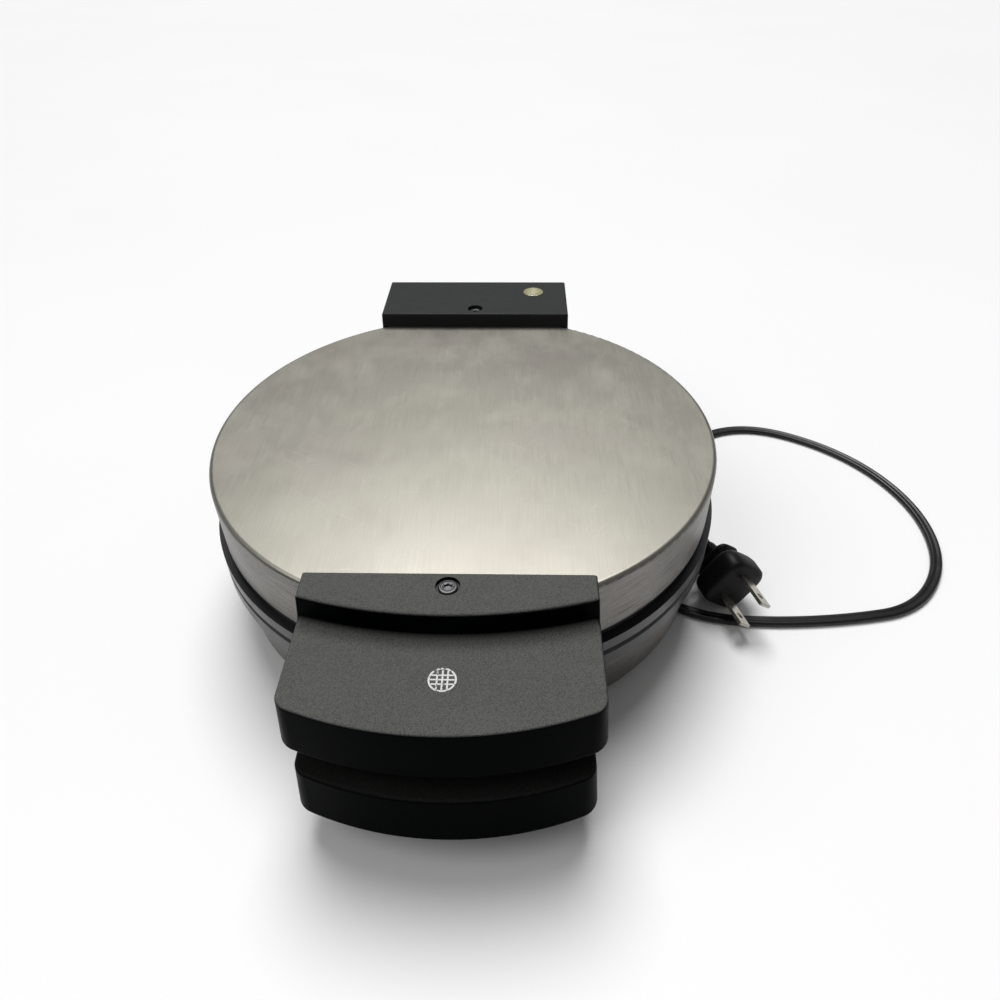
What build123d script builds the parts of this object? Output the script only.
from build123d import *
from math import cos, pi, radians, sin, tan
import os

# Round electric waffle maker: hinged lid over a base, two cast grid plates, front handles,
# rear hinge housings, and a flat two-core cord with a two-blade plug.
# The part stands on its rubber feet at z = 0, with +Z up and the handles towards -Y.
# The origin is under the middle of the appliance without its cord.

os.makedirs("parts", exist_ok=True)

# ---------------------------------------------------------------- driving dimensions (mm)
lid_radius = 108.0
lid_top = 75.0
parting = 39.5  # height of the plane between lid and base
land_gap = 0.3  # each side's clearance from the parting plane
sheet = 0.8  # steel sheet of lid and base shells
depth_front = 155.0  # body axis to the foremost edge of the lower handle
depth_back = 139.5  # body axis to the rear face of the hinge cover

# The body's axis stands behind the origin, because the handles reach further than the hinge.
body_y = (depth_front - depth_back) / 2

# shells and rings
ring_radius = lid_radius + 2.5
skirt_bottom = 50.0
ring_depth = {"upper": 6.2, "lower": 6.7}
collar_radius = {"upper": 106.9, "lower": 106.2}
collar_depth = 12.0
shell_foot_radius = 105.5
shell_bottom = 7.5
fit_gap = 0.15  # between handles or hinge covers and the shells they hug

# grid plates
flange_radius = 96.5
flange_thickness = 3.8
cavity_radius = 89.0
cavity_depth = 8.0
plate_thickness = 2.5
post_pitch = 15.0
post_size = 9.0
post_height = 5.5
ridge_width = 4.0
ridge_height = 7.0

# heating
element_radius = 62.0
element_tube = 3.2
reflector_radius = 85.0
reflector_depth = 20.0  # parting plane to the reflector's floor
reflector_sheet = 0.5

# handles
grip_half_width = 53.1
grip_bottom = 46.3
grip_top = 67.0
grip_side_front = 140.0  # body axis to the front edge at the grip's sides
grip_front = 151.0  # and at its middle
saddle_rear = 92.7
saddle_side_front = 103.0
saddle_front = 111.5
saddle_top = lid_top + 2.4
lower_grip_half_width = 51.5
lower_grip_bottom = 15.0
lower_grip_top = 37.0
lower_grip_rear = 94.0
lower_grip_side_front = 144.0
grip_corner = 8.0
grip_wall = 6.0  # at the front and the sides
grip_roof = 5.0  # closed end of the hollow under each grip
hollow_rear = 115.0
rib_width = 2.5
draft = 4.6  # degrees, sides of the handles
front_edge_radius = 1.4  # rounding of the handles' upper edges
lower_edge_radius = 1.5  # rounding of their lower edges

# hinge
pivot_y = 130.0  # from the body's axis
pivot_z = 38.0
pin_radius = 2.5
running_gap = 0.05
cheek_radius = 8.0
cheek_inner = 47.0
cover_half_width = 50.8
cover_front = 95.4
cover_bottom = 42.0
cover_top = lid_top + 7.0
cover_wall = 3.0
cover_hollow_front = 112.0
lens_x = 31.5
lens_y = 124.0  # from the body's axis
lens_radius = 5.5
bracket_half_width = 46.3
bracket_front = 98.0
bracket_rear = 134.5
bracket_bottom = 10.0
bracket_top = 33.0
bracket_wall = 4.0
bracket_floor = 3.0
lug_radius = 7.4
lug_inner = 38.0

# feet
foot_ring = 80.0
foot_radius = 9.0
base_plate_radius = 99.0
base_plate_thickness = 2.5

# cord, plug and strain relief
cord_diameter = 5.5
cord_z = cord_diameter / 2
relief_x = -20.0
relief_z = 19.0
relief_length = 28.0
plug_face = (121.0, -37.5, 14.8)  # centre of the face that the blades stand on, from the body's axis
plug_heading = -74.0  # degrees in plan, the way the blades point
plug_roll = 54.0  # degrees that the blades' common plane is turned up from flat
plug_body_length = 19.0
plug_square_length = 12.0  # of the part with a full section
plug_section = (25.0, 23.0, 7.0)  # the way the blades are spaced, the other way, corner radius
plug_shoulder = (12.0, 10.0, 4.0)
plug_flange = (20.0, 14.0, 4.0)
plug_neck_length = 9.0
blade_spacing = 12.7
blade_length = 17.5
blade_width = 6.35
blade_thickness = 1.5
blade_hole_place = 12.0  # from the plug's face

# ---------------------------------------------------------------- frame helpers
body_axis = Axis((0, body_y, 0), (0, 0, 1))
radial_plane = Plane(origin=(0, body_y, 0), x_dir=(1, 0, 0), z_dir=(0, -1, 0))
SIDES = {"upper": 1, "lower": -1}


def level(z):
    """Horizontal plane at height z, centred on the body's axis."""
    return Plane(origin=(0, body_y, z))


def height(side, distance):
    """Height of a level that lies a distance from the parting plane, above or below it."""
    return parting + SIDES[side] * distance


def save(piece, name):
    piece.part.label = name
    export_step(piece.part, f"parts/{name}.step")


def outline(points):
    """Closed outline of (radius, height) points, to be turned about the body's axis."""
    with BuildSketch(radial_plane) as profile:
        with BuildLine():
            Polyline(*points, close=True)
        make_face()
    return profile.sketch


# ---------------------------------------------------------------- steel shells
cover_screw_y = 103.4  # rear screw, from the body's axis
handle_screw_y = -98.4
lead_hole_z = {"upper": 60.0, "lower": 22.0}
lead_hole_radius = 6.0
lower_screw_places = (-28, 28)
lower_screw_z = 21.5

with BuildPart() as lid_shell:
    profile = outline(
        [
            (0, lid_top - sheet),
            (lid_radius - sheet, lid_top - sheet),
            (lid_radius - sheet, skirt_bottom),
            (lid_radius, skirt_bottom),
            (lid_radius, lid_top),
            (0, lid_top),
        ]
    )
    revolve(profile, axis=body_axis)
    rim = lid_shell.edges().filter_by(GeomType.CIRCLE).group_by(Axis.Z)[-1].sort_by(SortBy.RADIUS)[-1]
    fillet(rim, radius=1.9)
    with Locations((0, body_y + handle_screw_y, lid_top), (0, body_y + cover_screw_y, lid_top)):
        Hole(radius=2.2, depth=3)
    with Locations(Plane(origin=(0, body_y + lid_radius, lead_hole_z["upper"]), z_dir=(0, 1, 0))):
        Hole(radius=lead_hole_radius, depth=6)
save(lid_shell, "lid_shell")

with BuildPart() as lower_shell:
    shell_top = height("lower", ring_depth["lower"] + land_gap)
    profile = outline(
        [
            (base_plate_radius - 3, shell_bottom),
            (shell_foot_radius, shell_bottom),
            (lid_radius, shell_top),
            (lid_radius - sheet, shell_top),
            (shell_foot_radius - sheet, shell_bottom + sheet),
            (base_plate_radius - 3, shell_bottom + sheet),
        ]
    )
    revolve(profile, axis=body_axis)
    with Locations(Plane(origin=(0, body_y + lid_radius, lead_hole_z["lower"]), z_dir=(0, 1, 0))):
        Hole(radius=lead_hole_radius, depth=8)
    for x in lower_screw_places:
        with Locations(Plane(origin=(x, body_y - lid_radius, lower_screw_z), z_dir=(0, -1, 0))):
            Hole(radius=1.9, depth=12)
save(lower_shell, "lower_shell")


# ---------------------------------------------------------------- plastic rings round the plates
def ring(side):
    """Ring that carries a grid plate; a groove in its land catches batter that runs over."""
    band = ring_depth[side] + land_gap
    collar = collar_depth + land_gap
    ledge = flange_thickness + land_gap
    profile = [
        (ring_radius - 0.9, land_gap),
        (ring_radius, land_gap + 1.1),
        (ring_radius, band),
        (collar_radius[side], band),
        (collar_radius[side], collar),
        (cavity_radius + 3.5, collar),
        (cavity_radius + 3.5, ledge),
        (flange_radius + 0.3, ledge),
        (flange_radius + 0.3, land_gap),
        (flange_radius + 2.0, land_gap),
        (flange_radius + 2.8, land_gap + 2.2),
        (flange_radius + 5.2, land_gap + 2.2),
        (flange_radius + 6.0, land_gap),
    ]
    with BuildPart() as piece:
        section = outline([(radius, height(side, distance)) for radius, distance in profile])
        revolve(section, axis=body_axis)
    return piece


# ---------------------------------------------------------------- cast grid plates
boss_radius = 4.0
boss_ring = 42.0
boss_start = 45  # degrees, first of four
screw_hole = 1.6


def grid_plate(side):
    """Flanged round pan with square posts, a cross of ridges, and screw bosses on its back."""
    floor = cavity_depth + land_gap
    back = floor + plate_thickness
    wall = cavity_radius + plate_thickness
    with BuildPart() as piece:
        profile = outline(
            [
                (0, height(side, back)),
                (wall, height(side, back)),
                (wall, height(side, flange_thickness + land_gap)),
                (flange_radius, height(side, flange_thickness + land_gap)),
                (flange_radius, height(side, land_gap)),
                (cavity_radius, height(side, land_gap)),
                (cavity_radius - 2, height(side, floor)),
                (0, height(side, floor)),
            ]
        )
        revolve(profile, axis=body_axis)
        with BuildSketch(level(height(side, floor))):
            with GridLocations(post_pitch, post_pitch, 12, 12):
                Rectangle(post_size, post_size)
            Circle(cavity_radius - 6, mode=Mode.INTERSECT)
        extrude(amount=-SIDES[side] * post_height, taper=8)
        with BuildSketch(level(height(side, floor))):
            Rectangle(2 * cavity_radius - 3, ridge_width)
            Rectangle(ridge_width, 2 * cavity_radius - 3)
        extrude(amount=-SIDES[side] * ridge_height)
        with BuildSketch(level(height(side, back))):
            with PolarLocations(boss_ring, 4, start_angle=boss_start):
                Circle(boss_radius)
        extrude(amount=SIDES[side] * (reflector_depth - back - 0.2))
        with BuildSketch(level(height(side, reflector_depth))):
            with PolarLocations(boss_ring, 4, start_angle=boss_start):
                Circle(screw_hole)
        extrude(amount=-SIDES[side] * (reflector_depth - back + 1), mode=Mode.SUBTRACT)
    return piece


def plate_screws(side):
    """Pan-head screws through the reflector into the plate's bosses."""
    with BuildPart() as piece:
        with BuildSketch(level(height(side, reflector_depth + reflector_sheet))):
            with PolarLocations(boss_ring, 4, start_angle=boss_start):
                Circle(3.4)
        extrude(amount=SIDES[side] * 2.2)
        with BuildSketch(level(height(side, reflector_depth + reflector_sheet))):
            with PolarLocations(boss_ring, 4, start_angle=boss_start):
                Circle(screw_hole)
        extrude(amount=-SIDES[side] * 8)
    return piece


# ---------------------------------------------------------------- heating elements and reflectors
element_gap = 26  # degrees left open at the back, between the element's two legs
leg_angles = (90 - element_gap / 2, 90 + element_gap / 2)
leg_radius = 2.0


def leg_places():
    """The two places where the element's legs stand."""
    return PolarLocations(
        element_radius, 2, start_angle=leg_angles[0], angular_range=element_gap, endpoint=True
    )


def element(side):
    """Tubular ring element on the plate's back; both legs pass through the reflector."""
    back = cavity_depth + land_gap + plate_thickness
    centre = back + element_tube + 0.1
    with BuildPart() as piece:
        start = Plane(
            origin=(
                element_radius * cos(radians(leg_angles[1])),
                body_y + element_radius * sin(radians(leg_angles[1])),
                height(side, centre),
            ),
            x_dir=(cos(radians(leg_angles[1])), sin(radians(leg_angles[1])), 0),
            z_dir=(-sin(radians(leg_angles[1])), cos(radians(leg_angles[1])), 0),
        )
        with BuildSketch(start):
            Circle(element_tube)
        revolve(axis=body_axis, revolution_arc=360 - element_gap)
        with Locations(level(height(side, centre))):
            with leg_places():
                Sphere(element_tube)
        with BuildSketch(level(height(side, centre))):
            with leg_places():
                Circle(leg_radius)
        extrude(amount=SIDES[side] * 9.5)
    return piece


def reflector(side):
    """Thin bright pan behind the element, which sends its heat back to the plate."""
    back = cavity_depth + land_gap + plate_thickness
    with BuildPart() as piece:
        profile = outline(
            [
                (0, height(side, reflector_depth)),
                (reflector_radius - reflector_sheet, height(side, reflector_depth)),
                (reflector_radius - reflector_sheet, height(side, back + 0.2)),
                (reflector_radius, height(side, back + 0.2)),
                (reflector_radius, height(side, reflector_depth + reflector_sheet)),
                (0, height(side, reflector_depth + reflector_sheet)),
            ]
        )
        revolve(profile, axis=body_axis)
        with BuildSketch(level(height(side, reflector_depth - 1))):
            with leg_places():
                Circle(4.5)
            with PolarLocations(boss_ring, 4, start_angle=boss_start):
                Circle(screw_hole + 0.2)
        extrude(amount=SIDES[side] * 3, mode=Mode.SUBTRACT)
    return piece


for side in SIDES:
    save(ring(side), f"{side}_ring")
    save(grid_plate(side), f"{side}_grid_plate")
    save(plate_screws(side), f"{side}_plate_screws")
    save(element(side), f"{side}_heating_element")
    save(reflector(side), f"{side}_reflector")


# ---------------------------------------------------------------- base plate, feet and their screws
foot_places = {"front_left": 225, "front_right": 315, "rear_left": 135, "rear_right": 45}
base_plate_bottom = shell_bottom + sheet
base_plate_top = base_plate_bottom + base_plate_thickness

with BuildPart() as base_plate:
    with BuildSketch(level(base_plate_bottom)):
        Circle(base_plate_radius)
    extrude(amount=base_plate_thickness)
    with BuildSketch(level(base_plate_top)):
        with PolarLocations(foot_ring, 4, start_angle=45):
            Circle(4.5)
    extrude(amount=5)
    with BuildSketch(level(base_plate_bottom)):
        with PolarLocations(foot_ring, 4, start_angle=45):
            Circle(1.9)
    extrude(amount=10, mode=Mode.SUBTRACT)
    with BuildSketch(level(base_plate_bottom)):
        with PolarLocations(46, 16):
            SlotOverall(22, 3)
    extrude(amount=base_plate_thickness, mode=Mode.SUBTRACT)
save(base_plate, "base_plate")

for place, angle in foot_places.items():
    centre = Plane(origin=(foot_ring * cos(radians(angle)), body_y + foot_ring * sin(radians(angle)), 0))
    with BuildPart() as foot:
        with BuildSketch(centre):
            Circle(foot_radius - 1)
        with BuildSketch(centre.offset(base_plate_bottom)):
            Circle(foot_radius)
        loft()
        with BuildSketch(centre):
            Circle(4.2)
        extrude(amount=3, mode=Mode.SUBTRACT)
        with BuildSketch(centre):
            Circle(2.0)
        extrude(amount=base_plate_bottom, mode=Mode.SUBTRACT)
    save(foot, f"foot_{place}")

with BuildPart() as foot_screws:
    with BuildSketch(level(1.0)):
        with PolarLocations(foot_ring, 4, start_angle=45):
            Circle(3.6)
    extrude(amount=2)
    with BuildSketch(level(3.0)):
        with PolarLocations(foot_ring, 4, start_angle=45):
            Circle(1.8)
    extrude(amount=11)
save(foot_screws, "foot_screws")

# ---------------------------------------------------------------- thermostat, fuse and wiring
plate_back = cavity_depth + land_gap + plate_thickness

with BuildPart() as thermostat:
    with BuildSketch(level(height("lower", plate_back))):
        Circle(9)
    extrude(amount=-2)
    with BuildSketch(level(height("lower", plate_back + 2))):
        Circle(7)
    extrude(amount=-4)
    with BuildSketch(level(height("lower", plate_back + 6))):
        with GridLocations(7, 0, 2, 1):
            Rectangle(0.8, 4)
    extrude(amount=-2.5)
save(thermostat, "thermostat")

with BuildPart() as thermal_fuse:
    fuse_end = Plane(origin=(-7, body_y, height("upper", plate_back + 2.2)), z_dir=(1, 0, 0))
    with BuildSketch(fuse_end):
        Circle(2)
    extrude(amount=14)
    with BuildSketch(fuse_end.offset(-9)):
        Circle(0.5)
    extrude(amount=32)
save(thermal_fuse, "thermal_fuse")

block_x = -36.0
block_y = 60.0
block_size = (30.0, 12.0, 8.0)

with BuildPart() as terminal_block:
    with BuildSketch(Plane(origin=(block_x, body_y + block_y, base_plate_top))):
        Rectangle(block_size[0], block_size[1])
    extrude(amount=block_size[2])
    with BuildSketch(Plane(origin=(block_x, body_y + block_y, base_plate_top + block_size[2]))):
        with GridLocations(13, 0, 2, 1):
            Circle(2.4)
    extrude(amount=-4, mode=Mode.SUBTRACT)
save(terminal_block, "terminal_block")


def wire(points, radius, bend):
    """Round lead along straight runs joined by equal bends; points are taken from the body's axis."""
    route = [Vector(x, y + body_y, z) for x, y, z in points]
    with BuildLine() as path:
        FilletPolyline(*route, radius=bend)
    with BuildSketch(Plane(origin=route[0], z_dir=route[1] - route[0])) as section:
        Circle(radius)
    return sweep(section.sketch, path=path.line)


lead_radius = 1.1
leg_x = element_radius * cos(radians(leg_angles[0]))
leg_y = element_radius * sin(radians(leg_angles[0]))
block_rear = block_y + block_size[1] / 2
block_front = block_y - block_size[1] / 2
relief_flange_y = bracket_rear - 5.5

supply_routes = [
    [
        (block_x - 6 + 12 * i, block_rear, 14.8),
        (block_x - 6 + 12 * i, block_rear + 18, 14.8),
        (-2 + 4 * i, 98, 22),
        (-2 + 4 * i, 113, 22),
        (relief_x - 1.5 + 3 * i, 123, relief_z),
        (relief_x - 1.5 + 3 * i, relief_flange_y, relief_z),
    ]
    for i in range(2)
]
base_routes = [
    [
        (block_x + 6, block_front, 14.8),
        (block_x + 6, 45, 14.8),
        (-leg_x, 44, 15.2),
        (-leg_x, leg_y - leg_radius - 0.2, 17.3),
    ],
    [
        (block_x - 6, block_front, 13.2),
        (block_x - 6, 38, 13.2),
        (leg_x, 36, 13.2),
        (leg_x, leg_y - leg_radius - 0.2, 17.3),
    ],
]
lid_routes = [
    [
        (2.2 * i, 124, 50),
        (2.2 * i, 117, 60),
        (2.2 * i, 96, 60),
        (leg_x * i, 80, 66),
        (leg_x * i, leg_y + leg_radius + 0.5, 61.5),
    ]
    for i in (-1, 1)
]
lead_sets = {"supply_leads": supply_routes, "base_leads": base_routes, "lid_leads": lid_routes}
for name, routes in lead_sets.items():
    cores = [wire(route, lead_radius, 3.5) for route in routes]
    with BuildPart() as leads:
        add(cores)
    save(leads, name)


# ---------------------------------------------------------------- handles
def bowed_outline(plane, half_width, rear, side_front, middle_front, corner):
    """Outline with a straight rear edge and an arched front; distances are towards the front."""
    with BuildSketch(plane) as shape:
        with BuildLine():
            right_front = (half_width, -side_front)
            left_front = (-half_width, -side_front)
            Polyline(right_front, (half_width, -rear), (-half_width, -rear), left_front)
            ThreePointArc(left_front, (0, -middle_front), right_front)
        make_face()
        if corner:
            fillet(shape.vertices().group_by(Axis.Y)[0], radius=corner)
    return shape.sketch


def body_recess(ring_low, ring_high, shell_high):
    """Space that the rings and the steel shells take up, with a little clearance."""
    profile = outline(
        [
            (0, shell_bottom - 2),
            (shell_foot_radius + fit_gap - 0.2, shell_bottom - 2),
            (lid_radius + fit_gap, ring_low),
            (ring_radius + fit_gap, ring_low),
            (ring_radius + fit_gap, ring_high),
            (lid_radius + fit_gap, ring_high),
            (lid_radius + fit_gap, shell_high),
            (0, shell_high),
        ]
    )
    return revolve(profile, axis=body_axis)


band_low = height("lower", ring_depth["lower"] + land_gap)
band_high = height("upper", ring_depth["upper"] + land_gap)
lid_space = body_recess(band_low, band_high + fit_gap, lid_top)
base_space = body_recess(band_low - fit_gap, band_high - land_gap, lid_top)
rib_places = (-23, 0, 23)


def hollow(bottom, top, half_width, side_front, middle_front):
    """Core the grip from below and stand ribs in the hollow, inside the part being built."""
    core = bowed_outline(
        level(bottom),
        half_width - grip_wall,
        hollow_rear,
        side_front - grip_wall,
        middle_front - grip_wall,
        grip_corner / 2,
    )
    extrude(core, amount=top - bottom - grip_roof, mode=Mode.SUBTRACT)
    with BuildSketch(level(bottom)) as ribs:
        for x in rib_places:
            with Locations((x, -(hollow_rear + middle_front - grip_wall) / 2)):
                Rectangle(rib_width, middle_front - grip_wall - hollow_rear + 2)
    extrude(ribs.sketch, amount=top - bottom - grip_roof + 1)


def rim_edges(piece, z):
    """Edges at height z in front of the handle's straight rear edge."""
    at_height = piece.edges().filter_by_position(Axis.Z, z - 0.05, z + 0.05)
    return at_height.filter_by(lambda edge: edge.center().Y < body_y - saddle_rear - 1)


with BuildPart() as upper_handle:
    # The grip and the saddle share their drafted sides, which run in towards the saddle's top.
    run_in = (saddle_top - grip_bottom) * tan(radians(draft))
    rear = saddle_rear - run_in
    fronts = (saddle_side_front + run_in, saddle_front + run_in)
    grip = bowed_outline(
        level(grip_bottom),
        grip_half_width,
        rear,
        grip_side_front,
        grip_front,
        grip_corner,
    )
    extrude(grip, amount=grip_top - grip_bottom, taper=draft)
    saddle = bowed_outline(level(grip_bottom), grip_half_width, rear, *fronts, 0)
    extrude(saddle, amount=saddle_top - grip_bottom, taper=draft)
    fillet(rim_edges(upper_handle, grip_bottom), radius=lower_edge_radius)
    fillet(rim_edges(upper_handle, grip_top).sort_by(Axis.Y)[:-1], radius=1.0)
    fillet(upper_handle.edges().filter_by_position(Axis.Z, grip_top + 1, saddle_top - 1), radius=1.0)
    step_foot = rim_edges(upper_handle, grip_top).sort_by(SortBy.LENGTH)[-2:].sort_by(Axis.Y)[-1]
    fillet(step_foot, radius=4.5)
    fillet(rim_edges(upper_handle, saddle_top), radius=front_edge_radius)
    add(lid_space, mode=Mode.SUBTRACT)
    hollow(grip_bottom, grip_top, grip_half_width, grip_side_front, grip_front)
    with Locations(Plane(origin=(0, body_y + handle_screw_y, saddle_top))):
        CounterBoreHole(radius=2.2, counter_bore_radius=4.25, counter_bore_depth=1.4, depth=6)
save(upper_handle, "upper_handle")

with BuildPart() as lower_handle:
    grip = bowed_outline(
        level(lower_grip_bottom),
        lower_grip_half_width,
        lower_grip_rear,
        lower_grip_side_front,
        depth_front,
        grip_corner,
    )
    extrude(grip, amount=lower_grip_top - lower_grip_bottom, taper=draft)
    fillet(rim_edges(lower_handle, lower_grip_bottom), radius=lower_edge_radius)
    fillet(rim_edges(lower_handle, lower_grip_top), radius=front_edge_radius)
    add(base_space, mode=Mode.SUBTRACT)
    hollow(lower_grip_bottom, lower_grip_top, lower_grip_half_width, lower_grip_side_front, depth_front)
    for x in lower_screw_places:
        with Locations(Plane(origin=(x, body_y - 116, lower_screw_z), z_dir=(0, -1, 0))):
            Hole(radius=1.6, depth=20)
save(lower_handle, "lower_handle")

# ---------------------------------------------------------------- backing plates and handle screws
backing_thickness = 1.5

for name, y in {"handle_backing_plate": handle_screw_y, "hinge_backing_plate": cover_screw_y}.items():
    toward_middle = -4 if y > 0 else 4
    with BuildPart() as backing_plate:
        with BuildSketch(Plane(origin=(0, body_y + y + toward_middle, lid_top - sheet))):
            RectangleRounded(30, 12, 2)
        extrude(amount=-backing_thickness)
        with BuildSketch(Plane(origin=(0, body_y + y, lid_top - sheet))):
            Circle(1.9)
        extrude(amount=-backing_thickness, mode=Mode.SUBTRACT)
    save(backing_plate, name)


def recessed_screw(place, head_radius, head_height, shank_radius, length):
    """Round-headed screw with a six-sided socket, pointing along the plane's -Z from its origin."""
    with BuildPart() as screw:
        with BuildSketch(place):
            Circle(head_radius)
        extrude(amount=head_height)
        with BuildSketch(place):
            Circle(shank_radius)
        extrude(amount=-length)
        with BuildSketch(place.offset(head_height)):
            RegularPolygon(radius=head_radius * 0.46, side_count=6)
        extrude(amount=-head_height * 0.6, mode=Mode.SUBTRACT)
    return screw


save(
    recessed_screw(Plane(origin=(0, body_y + handle_screw_y, saddle_top - 1.4)), 3.3, 1.2, 1.85, 8),
    "handle_screw",
)
save(
    recessed_screw(Plane(origin=(0, body_y + cover_screw_y, cover_top - 3.0)), 3.3, 1.6, 1.85, 12),
    "hinge_cover_screw",
)

with BuildPart() as lower_handle_screws:
    for x in lower_screw_places:
        inside = Plane(origin=(x, body_y - 98, lower_screw_z), z_dir=(0, -1, 0))
        with BuildSketch(inside):
            Circle(3.2)
        extrude(amount=2)
        with BuildSketch(inside.offset(2)):
            Circle(1.6)
        extrude(amount=13)
save(lower_handle_screws, "lower_handle_screws")

# ---------------------------------------------------------------- hinge
pivot = Plane(origin=(0, body_y + pivot_y, pivot_z), x_dir=(0, 1, 0), z_dir=(1, 0, 0))

with BuildPart() as hinge_cover:
    with BuildSketch(level(cover_bottom)) as footprint:
        with Locations((0, (cover_front + depth_back) / 2)):
            Rectangle(2 * cover_half_width, depth_back - cover_front)
        fillet(footprint.vertices(), radius=2)
    extrude(amount=cover_top - cover_bottom, taper=1.7)
    fillet(hinge_cover.faces().sort_by(Axis.Z)[-1].outer_wire().edges(), radius=1.0)
    add(lid_space, mode=Mode.SUBTRACT)
    with BuildSketch(level(cover_bottom)):
        with Locations((0, (cover_hollow_front + depth_back - cover_wall) / 2)):
            Rectangle(2 * cheek_inner, depth_back - cover_wall - cover_hollow_front)
    extrude(amount=cover_top - cover_wall - cover_bottom, mode=Mode.SUBTRACT)
    with BuildSketch(level(cover_bottom)):
        with Locations((0, depth_back)):
            Rectangle(2 * cheek_inner, 24)
    extrude(amount=pivot_z + 9 - cover_bottom, mode=Mode.SUBTRACT)
    with BuildSketch(pivot.offset(cheek_inner)):
        Circle(cheek_radius)
    extrude(amount=cover_half_width - cheek_inner)
    with BuildSketch(pivot.offset(-cheek_inner)):
        Circle(cheek_radius)
    extrude(amount=cheek_inner - cover_half_width)
    with BuildSketch(pivot.offset(-cover_half_width)):
        Circle(pin_radius)
    extrude(amount=2 * cover_half_width, mode=Mode.SUBTRACT)
    with Locations(Plane(origin=(0, body_y + cover_screw_y, cover_top))):
        CounterBoreHole(radius=2.2, counter_bore_radius=4.0, counter_bore_depth=3.0, depth=10)
    with Locations(Plane(origin=(lens_x, body_y + lens_y, cover_top))):
        Hole(radius=lens_radius + 0.1, depth=5)
    with Locations(Plane(origin=(0, body_y + 113, lead_hole_z["upper"]), z_dir=(0, 1, 0))):
        Hole(radius=lead_hole_radius, depth=8)
save(hinge_cover, "hinge_cover")

with BuildPart() as hinge_bracket:
    with BuildSketch(level(bracket_bottom)):
        with Locations((0, (bracket_front + bracket_rear) / 2)):
            Rectangle(2 * bracket_half_width, bracket_rear - bracket_front)
    extrude(amount=bracket_top - bracket_bottom)
    for inner, outer in ((lug_inner, bracket_half_width), (-bracket_half_width, -lug_inner)):
        with BuildSketch(pivot.offset(inner)):
            Circle(lug_radius)
            with Locations((-1.45, -4.5)):
                Rectangle(11.9, 9)
        extrude(amount=outer - inner)
    add(base_space, mode=Mode.SUBTRACT)
    with BuildSketch(level(bracket_bottom + bracket_floor)):
        with Locations((0, (bracket_front + bracket_rear - bracket_wall) / 2)):
            Rectangle(
                2 * (bracket_half_width - bracket_wall),
                bracket_rear - bracket_wall - bracket_front,
            )
    extrude(amount=bracket_top - bracket_bottom - 2 * bracket_floor, mode=Mode.SUBTRACT)
    with BuildSketch(pivot.offset(-bracket_half_width)):
        Circle(pin_radius + running_gap)
    extrude(amount=2 * bracket_half_width, mode=Mode.SUBTRACT)
    with Locations(Plane(origin=(relief_x, body_y + bracket_rear, relief_z), z_dir=(0, 1, 0))):
        Hole(radius=4.4, depth=6)
save(hinge_bracket, "hinge_bracket")

with BuildPart() as hinge_pins:
    for way in (-1, 1):
        with BuildSketch(pivot.offset(way * (lug_inner - 0.5))):
            Circle(pin_radius)
        extrude(amount=way * (cover_half_width - lug_inner + 0.5))
        with BuildSketch(pivot.offset(way * cover_half_width)):
            Circle(3.8)
        extrude(amount=way * 1.2)
save(hinge_pins, "hinge_pins")

# ---------------------------------------------------------------- indicator
lens_place = Plane(origin=(lens_x, body_y + lens_y, cover_top - cover_wall))

with BuildPart() as indicator_lens:
    with BuildSketch(lens_place):
        Circle(lens_radius)
    extrude(amount=cover_wall + 0.5)
    fillet(indicator_lens.edges().sort_by(Axis.Z)[-1], radius=0.4)
    with BuildSketch(lens_place):
        Circle(7)
    extrude(amount=-1.2)
save(indicator_lens, "indicator_lens")

with BuildPart() as indicator_lamp:
    with BuildSketch(lens_place.offset(-2)):
        Circle(3)
    extrude(amount=-11)
    fillet(indicator_lamp.edges().sort_by(Axis.Z)[-1], radius=2)
save(indicator_lamp, "indicator_lamp")

# ---------------------------------------------------------------- strain relief, cord and plug
relief_start = (relief_x, body_y + bracket_rear, relief_z)
relief_place = Plane(origin=relief_start, x_dir=(1, 0, 0), z_dir=(0, 1, 0))

with BuildPart() as strain_relief:
    with BuildSketch(relief_place.offset(-5.5)):
        Circle(5.8)
    extrude(amount=1.5)
    with BuildSketch(relief_place.offset(-4)):
        Circle(4.3)
    extrude(amount=4)
    with BuildSketch(relief_place):
        Circle(5.4)
    with BuildSketch(relief_place.offset(relief_length)):
        Circle(3.4)
    loft()
save(strain_relief, "strain_relief")

heading = radians(plug_heading)
roll = radians(plug_roll)
blade_way = Vector(cos(heading), sin(heading), 0)
across = Vector(-sin(heading) * cos(roll), cos(heading) * cos(roll), sin(roll))
face_plane = Plane(
    origin=(plug_face[0], body_y + plug_face[1], plug_face[2]),
    x_dir=across,
    z_dir=blade_way,
)

with BuildPart() as plug_body:
    for behind in (0, plug_square_length):
        with BuildSketch(face_plane.offset(-behind)):
            RectangleRounded(*plug_section)
    with BuildSketch(face_plane.offset(-plug_body_length)):
        RectangleRounded(*plug_shoulder)
    loft(ruled=True)
    with BuildSketch(face_plane.offset(-plug_body_length)):
        RectangleRounded(*plug_flange)
    extrude(amount=2.5)
    with BuildSketch(face_plane.offset(-plug_body_length)):
        Circle(4.6)
    with BuildSketch(face_plane.offset(-plug_body_length - plug_neck_length)):
        Circle(3.3)
    loft()
save(plug_body, "plug_body")

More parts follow.
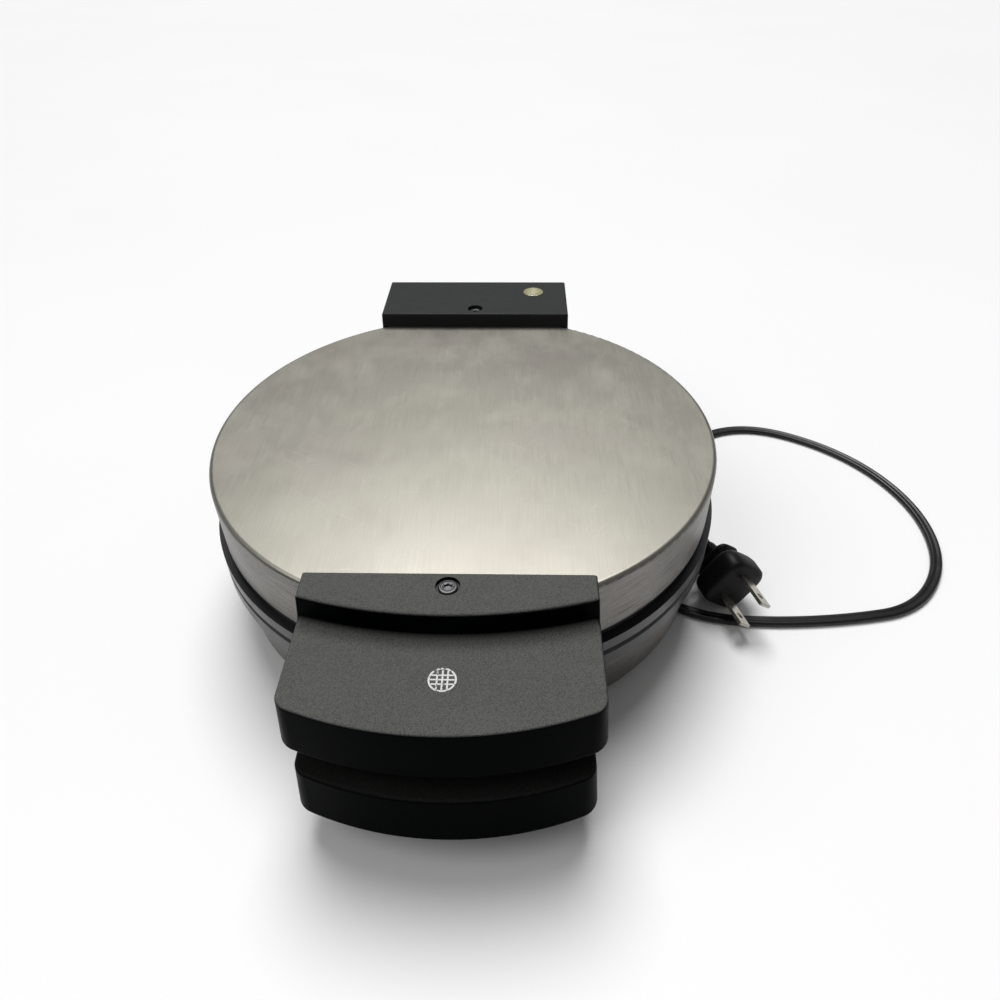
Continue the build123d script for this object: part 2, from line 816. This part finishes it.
with BuildPart() as plug_blades:
    with BuildSketch(face_plane):
        with GridLocations(blade_spacing, 0, 2, 1):
            Rectangle(blade_thickness, blade_width)
    extrude(amount=blade_length)
    tips = plug_blades.faces().sort_by(Axis(face_plane.origin, face_plane.z_dir))[-2:]
    chamfer(tips.edges(), length=0.5)
    hole_centre = face_plane.from_local_coords((0, 0, blade_hole_place))
    with BuildSketch(Plane(origin=hole_centre, x_dir=blade_way, z_dir=across)):
        Circle(1.6)
    extrude(amount=12, both=True, mode=Mode.SUBTRACT)
save(plug_blades, "plug_blades")

cord_start = Vector(relief_x, bracket_rear + relief_length, relief_z)
neck_end = Vector(*plug_face) - blade_way * (plug_body_length + plug_neck_length)
cord_route = [
    cord_start,
    Vector(relief_x, 178, relief_z),
    Vector(-17, 198, 12),
    Vector(-4, 215, 5),
    Vector(18, 222, cord_z),
    Vector(40, 213, cord_z),
    Vector(52, 192, cord_z),
    Vector(51, 165, cord_z),
    Vector(43, 130, cord_z),
    Vector(36, 88, cord_z),
    Vector(40, 46, cord_z),
    Vector(54, 8, cord_z),
    Vector(77, -24, cord_z),
    Vector(106, -43.5, cord_z),
    Vector(139, -46, cord_z),
    Vector(174, -43.5, cord_z),
    Vector(206, -37, cord_z),
    Vector(229, -9, cord_z),
    Vector(235, 28, cord_z),
    Vector(224, 65, cord_z),
    Vector(200, 93, cord_z),
    Vector(166, 110.5, cord_z),
    Vector(134, 103, cord_z),
    Vector(118, 76, cord_z),
    Vector(113, 50, cord_z + 0.3),
    Vector(110.5, 27, 7),
    neck_end - blade_way * 13,
    neck_end,
]


def bend_radii(route):
    """Radius at each corner of the cord: as large as its shorter neighbouring run allows."""
    radii = []
    for before, corner, after in zip(route, route[1:], route[2:]):
        turn = radians((corner - before).get_angle(after - corner))
        shorter = min((corner - before).length, (after - corner).length)
        radii.append(0.45 * shorter / tan(turn / 2))
    return radii


row_route = [point + Vector(0, body_y, 0) for point in cord_route]
cord_radii = bend_radii(row_route)
print("cord radii", [round(radius) for radius in cord_radii])

with BuildPart() as power_cord:
    with BuildLine() as cord_path:
        FilletPolyline(*row_route, radius=cord_radii)
    with BuildSketch(Plane(origin=row_route[0], z_dir=row_route[1] - row_route[0])):
        Circle(cord_diameter / 2)
    sweep()
save(power_cord, "power_cord")

cord_length = sum(edge.length for edge in cord_path.edges())
section = pi * cord_diameter**2 / 4
print(f"cord {cord_length:.0f} mm long")
print(f"cord volume {power_cord.part.volume:.0f}, length times section {cord_length * section:.0f}")
